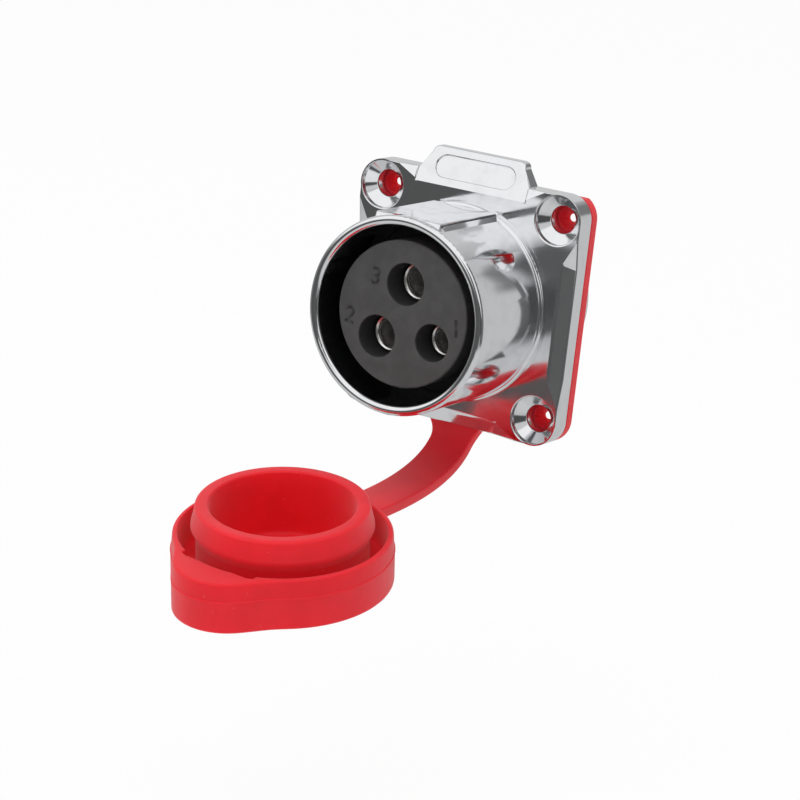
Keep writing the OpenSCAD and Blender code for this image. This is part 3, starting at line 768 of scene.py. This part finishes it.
def seen_directly(wire):
    """1 for camera, glossy and transmission rays."""
    path = "ShaderNodeLightPath"
    camera = wire.node(path, output="Is Camera Ray")
    glossy = wire.node(path, output="Is Glossy Ray")
    through = wire.node(path, output="Is Transmission Ray")
    return ramp(camera + glossy + through, 0.0, 1.0)


floor_paint = bpy.data.materials.new("pale_floor")
floor_paint.use_nodes = True
tree = floor_paint.node_tree
tree.nodes.clear()
wire = Wire(tree)
speckle = grain(wire, place_of(wire), 40.0, 3.0)
pale = tint(speckle, FLOOR_GREY, FLOOR_PALE)
matt = wire.node("ShaderNodeBsdfDiffuse", {}, {"Color": pale})
glow = wire.node("ShaderNodeEmission", {}, {"Color": WHITE, "Strength": 1.0})
both = wire.node("ShaderNodeMixShader", {}, {0: FLOOR_GLOW * seen_directly(wire), 1: matt, 2: glow})
output = tree.nodes.new("ShaderNodeOutputMaterial")
tree.links.new(both.socket, output.inputs["Surface"])

turns = [2 * math.pi * i / FLOOR_SIDES for i in range(FLOOR_SIDES)]
rim = [(FLOOR_R * math.cos(turn), FLOOR_R * math.sin(turn), FLOOR_Z) for turn in turns]
floor = mesh_piece("floor", rim, [tuple(range(FLOOR_SIDES))])
dress(floor, floor_paint)
floor.visible_glossy = False

world = bpy.data.worlds.new("white_studio")
scene.world = world
world.use_nodes = True
tree = world.node_tree
tree.nodes.clear()
wire = Wire(tree)
strength = SKY_LIGHT + (1 - SKY_LIGHT) * seen_directly(wire)
sky = wire.node("ShaderNodeBackground", {}, {"Color": WHITE, "Strength": strength})
output = tree.nodes.new("ShaderNodeOutputWorld")
tree.links.new(sky.socket, output.inputs["Surface"])

# Room: what the chrome mirrors, a dome with soft panels placed by azimuth and height from the front.
# Only reflections see it, so it puts no light on the part and no colour behind it.
ROOM_R = 800.0
ROOM_STEP = 2
ROOM_GREY = 0.56
ROOM_PANELS = (
    # from, to, low, high, soft edge, brightness
    (-75, 68, 8, 62, 6, 0.97),
    (-20, 90, 44, 90, 10, 0.95),
    (-200, -120, -5, 50, 10, 0.62),
    (-125, -62, -18, 8, 8, 0.22),
    (-65, 36, -21, 3, 6, 0.09),
    (50, 130, -21, 3, 6, 0.10),
    (6, 31, -16, 28, 6, 0.11),
    (28, 52, -13, 12, 5, 0.07),
    (31, 50, 12, 29, 5, 0.62),
    (70, 128, -16, 52, 9, 0.15),
    (62, 128, -70, -22, 8, 0.62),
    (-60, 62, -60, -24, 8, 0.62),
    (140, 178, 10, 29, 6, 0.20),
)


def covered(at, low, high, soft):
    """1 inside a span, 0 outside, smooth over its soft edge."""
    share = min(1.0, max(0.0, min(at - low, high - at) / soft + 0.5))
    return share * share * (3 - 2 * share)


points = []
shine = []
for rise in range(-90, 91, ROOM_STEP):
    for turn in range(-180, 180, ROOM_STEP):
        a, e = math.radians(turn), math.radians(rise)
        points.append((ROOM_R * math.sin(a) * math.cos(e), -10 - ROOM_R * math.cos(a) * math.cos(e),
                       ROOM_R * math.sin(e)))
        value = ROOM_GREY
        for start, stop, low, high, soft, bright in ROOM_PANELS:
            share = covered(turn, start, stop, soft) * covered(rise, low, high, soft)
            value += (bright - value) * share
        shine.append(value)
across = 360 // ROOM_STEP
faces = []
for i in range(180 // ROOM_STEP):
    here, above = i * across, (i + 1) * across
    for k in range(across):
        beside = (k + 1) % across
        faces.append((here + k, here + beside, above + beside, above + k))
room = mesh_piece("studio_room", points, faces)
layer = room.data.attributes.new("shine", "FLOAT", "POINT")
layer.data.foreach_set("value", shine)
room_paint = bpy.data.materials.new("studio_room")
room_paint.use_nodes = True
tree = room_paint.node_tree
tree.nodes.clear()
wire = Wire(tree)
brightness = wire.node("ShaderNodeAttribute", {"attribute_name": "shine"}, output="Color")
lit = wire.node("ShaderNodeEmission", {}, {"Color": brightness, "Strength": 1.0})
output = tree.nodes.new("ShaderNodeOutputMaterial")
tree.links.new(lit.socket, output.inputs["Surface"])
dress(room, room_paint)
room.visible_camera = False
room.visible_diffuse = False
room.visible_shadow = False
room.visible_transmission = False

# Lamps: one wide soft box overhead and a smaller one in front, both aimed between the barrel and the cap.
# Metal mirrors the room's panels in their place, so they are hidden from reflections.
AIM = Vector((0, -0.02, -0.02))
SOFTBOXES = (
    # name, place in m, size in m, watts
    ("overhead_softbox", (-0.04, -0.36, 0.92), (0.9, 0.7), 3.3),
    ("front_softbox", (0.15, -0.85, 0.60), (0.7, 0.5), 1.2),
)
for name, at, size, watts in SOFTBOXES:
    lamp = bpy.data.lights.new(name, "AREA")
    lamp.shape = "RECTANGLE"
    lamp.size, lamp.size_y = size
    lamp.energy = watts
    softbox = bpy.data.objects.new(name, lamp)
    softbox.location = at
    softbox.rotation_euler = (AIM - softbox.location).to_track_quat("-Z", "Y").to_euler()
    softbox.visible_glossy = False
    scene.collection.objects.link(softbox)

# Camera: a long lens at the photograph's viewing angle, placed by the flange's holes and the barrel's rims.
# Its axes are given as unit vectors in the part's frame.
LENS = 126.0
SENSOR = 36.0
CAMERA_AT = (0.17252, -0.31317, 0.07415)
CAMERA_RIGHT = (0.8456898, 0.52259788, 0.10816753)
CAMERA_DOWN = (0.21706419, -0.15167066, -0.96430241)
CAMERA_AHEAD = (-0.48753656, 0.83898002, -0.24170362)

lens = bpy.data.cameras.new("photo_camera")
lens.lens = LENS
lens.sensor_width = SENSOR
lens.clip_start = 0.01
camera = bpy.data.objects.new("photo_camera", lens)
axes = (Vector(CAMERA_RIGHT), -Vector(CAMERA_DOWN), -Vector(CAMERA_AHEAD), Vector(CAMERA_AT))
camera.matrix_world = Matrix([[axis[i] for axis in axes] for i in range(3)] + [[0, 0, 0, 1]])
scene.collection.objects.link(camera)
scene.camera = camera
